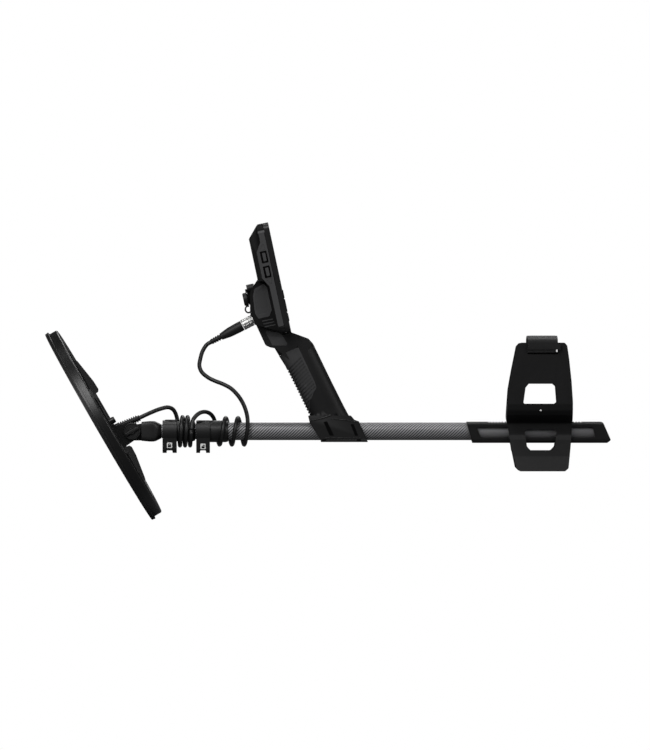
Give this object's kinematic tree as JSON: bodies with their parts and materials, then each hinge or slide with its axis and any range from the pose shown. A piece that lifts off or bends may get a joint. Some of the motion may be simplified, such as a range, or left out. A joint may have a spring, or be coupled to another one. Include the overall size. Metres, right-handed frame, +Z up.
{
  "type": "metal detector",
  "caption": "Collapsible metal detector: round open-web search coil on a tilting yoke, telescoping shaft with cam locks, pistol grip with control pod, and an armrest that is also a stand",
  "frame": {"origin": "on the ground, at the middle of the bounding box in X and Y; the detector stands on its coil's lower rim and on the rear corners of the armrest's two feet", "axes": "X from the coil towards the armrest (the shaft runs 6.8 degrees down towards the rear), Y across the shaft with the cam levers and side buttons on the -Y side, Z up"},
  "size_m": [0.7304, 0.286, 0.375],
  "materials": {
    "black_plastic": "fine satin moulding",
    "soft_black": "matt moulding",
    "carbon_tube": "satin lacquered diagonal weave",
    "black_rubber": "matt",
    "cable_jacket": "satin",
    "steel": "plain",
    "nickel": "satin knurled",
    "potted_winding": "potted wire bundle",
    "circuit_board": "solder mask",
    "cell_pack": "shrink sleeve",
    "screen_glass": "gloss",
    "webbing": "woven"
  },
  "bodies": {
    "shaft": {"upper_tube": "carbon_tube", "upper_lock_collar": "black_plastic", "upper_lock_pin": "steel", "handle_left_half": "black_plastic", "handle_right_half": "black_plastic", "rubber_grip": "black_rubber", "clamp_cap": "soft_black", "clamp_screw_1": "steel", "clamp_screw_2": "steel", "pod_bezel": "black_plastic", "pod_rear_housing": "soft_black", "screen_lens": "screen_glass", "display_module": "steel", "main_board": "circuit_board", "battery_pack": "cell_pack", "torch_lens": "screen_glass", "phone_socket": "nickel", "coil_socket": "nickel", "plug_boot": "black_rubber", "rear_shell": "black_plastic", "cable_wraps_upper": "cable_jacket", "cable_riser": "cable_jacket"},
    "upper_lever": {"upper_lock_lever": "soft_black"},
    "middle_shaft": {"middle_tube": "carbon_tube", "middle_tube_bush": "black_rubber", "lower_lock_collar": "black_plastic", "lower_lock_pin": "steel", "cable_wraps_middle": "cable_jacket", "cable_bridge": "cable_jacket"},
    "lower_lever": {"lower_lock_lever": "soft_black"},
    "lower_shaft": {"yoke_fitting": "soft_black", "lower_tube": "carbon_tube", "lower_tube_bush": "black_rubber", "cable_arch": "cable_jacket"},
    "coil": {"coil_housing": "black_plastic", "skid_plate": "soft_black", "transmit_winding": "potted_winding", "receive_winding": "potted_winding", "coil_cable_boot": "black_rubber", "tilt_bolt": "soft_black", "friction_washer_1": "black_rubber", "friction_washer_2": "black_rubber"},
    "tilt_nut": {"tilt_thumb_nut": "soft_black"},
    "armrest": {"armrest_cuff": "black_plastic", "armrest_clamp_pad": "black_rubber", "arm_strap": "webbing"},
    "armrest_screw": {"armrest_thumb_screw": "soft_black"},
    "plug_nut": {"coupling_nut": "nickel"},
    "phone_cap": {"phone_socket_cap": "black_rubber"},
    "side_button_upper": {"side_button_2": "black_rubber"},
    "side_button_lower": {"side_button_1": "black_rubber"},
    "key_select_body": {"key_select": "black_rubber"},
    "key_up_body": {"key_up": "black_rubber"},
    "key_down_body": {"key_down": "black_rubber"},
    "key_left_body": {"key_left": "black_rubber"},
    "key_right_body": {"key_right": "black_rubber"},
    "key_mode_body": {"key_mode": "black_rubber"},
    "key_pinpoint_body": {"key_pinpoint": "black_rubber"},
    "key_metal_body": {"key_metal": "black_rubber"},
    "key_menu_body": {"key_menu": "black_rubber"}
  },
  "joints": [
    {"name": "coil_tilt", "type": "hinge", "parent": "lower_shaft", "child": "coil", "pos_m": [-0.2654, 0, 0.12077], "axis": [0, 1, 0], "range_deg": [-35, 10], "deforming": ["cable_arch"]},
    {"name": "lower_shaft_slide", "type": "slide", "parent": "middle_shaft", "child": "lower_shaft", "axis": [-0.993, 0, 0.1182], "range_m": [0, 0.398], "deforming": ["cable_arch"]},
    {"name": "middle_shaft_slide", "type": "slide", "parent": "shaft", "child": "middle_shaft", "axis": [-0.993, 0, 0.1182], "range_m": [0, 0.398], "deforming": ["cable_bridge"]},
    {"name": "lower_lever_open", "type": "hinge", "parent": "middle_shaft", "child": "lower_lever", "pos_m": [-0.21823, -0.007, 0.0932], "axis": [0.993, 0, -0.1182], "range_deg": [0, 95]},
    {"name": "upper_lever_open", "type": "hinge", "parent": "shaft", "child": "upper_lever", "pos_m": [-0.17409, -0.007, 0.08795], "axis": [0.993, 0, -0.1182], "range_deg": [0, 95]},
    {"name": "tilt_nut_turn", "type": "hinge", "parent": "coil", "child": "tilt_nut", "pos_m": [-0.2654, -0.017, 0.12077], "axis": [0, 1, 0], "continuous": true},
    {"name": "armrest_slide", "type": "slide", "parent": "shaft", "child": "armrest", "axis": [0.993, 0, -0.1182], "range_m": [-0.03, 0.03]},
    {"name": "armrest_screw_turn", "type": "hinge", "parent": "armrest", "child": "armrest_screw", "pos_m": [0.2403, 0, 0.03238], "axis": [0.1182, 0, 0.993], "continuous": true},
    {"name": "plug_nut_turn", "type": "hinge", "parent": "shaft", "child": "plug_nut", "pos_m": [-0.09611, 0, 0.24588], "axis": [-0.9335, 0, -0.3585], "continuous": true},
    {"name": "phone_cap_pull", "type": "slide", "parent": "shaft", "child": "phone_cap", "axis": [-0.9959, 0, -0.0908], "range_m": [0, 0.008]},
    {"name": "side_button_upper_press", "type": "slide", "parent": "shaft", "child": "side_button_upper", "axis": [0, 1, 0], "range_m": [0, 0.0008], "stiffness_N_per_m": 600},
    {"name": "side_button_lower_press", "type": "slide", "parent": "shaft", "child": "side_button_lower", "axis": [0, 1, 0], "range_m": [0, 0.0008], "stiffness_N_per_m": 600},
    {"name": "key_select_press", "type": "slide", "parent": "shaft", "child": "key_select_body", "axis": [-0.9959, 0, -0.0908], "range_m": [0, 0.0008], "stiffness_N_per_m": 600},
    {"name": "key_up_press", "type": "slide", "parent": "shaft", "child": "key_up_body", "axis": [-0.9959, 0, -0.0908], "range_m": [0, 0.0008], "stiffness_N_per_m": 600},
    {"name": "key_down_press", "type": "slide", "parent": "shaft", "child": "key_down_body", "axis": [-0.9959, 0, -0.0908], "range_m": [0, 0.0008], "stiffness_N_per_m": 600},
    {"name": "key_left_press", "type": "slide", "parent": "shaft", "child": "key_left_body", "axis": [-0.9959, 0, -0.0908], "range_m": [0, 0.0008], "stiffness_N_per_m": 600},
    {"name": "key_right_press", "type": "slide", "parent": "shaft", "child": "key_right_body", "axis": [-0.9959, 0, -0.0908], "range_m": [0, 0.0008], "stiffness_N_per_m": 600},
    {"name": "key_mode_press", "type": "slide", "parent": "shaft", "child": "key_mode_body", "axis": [-0.9959, 0, -0.0908], "range_m": [0, 0.0008], "stiffness_N_per_m": 600},
    {"name": "key_pinpoint_press", "type": "slide", "parent": "shaft", "child": "key_pinpoint_body", "axis": [-0.9959, 0, -0.0908], "range_m": [0, 0.0008], "stiffness_N_per_m": 600},
    {"name": "key_metal_press", "type": "slide", "parent": "shaft", "child": "key_metal_body", "axis": [-0.9959, 0, -0.0908], "range_m": [0, 0.0008], "stiffness_N_per_m": 600},
    {"name": "key_menu_press", "type": "slide", "parent": "shaft", "child": "key_menu_body", "axis": [-0.9959, 0, -0.0908], "range_m": [0, 0.0008], "stiffness_N_per_m": 600}
  ]
}
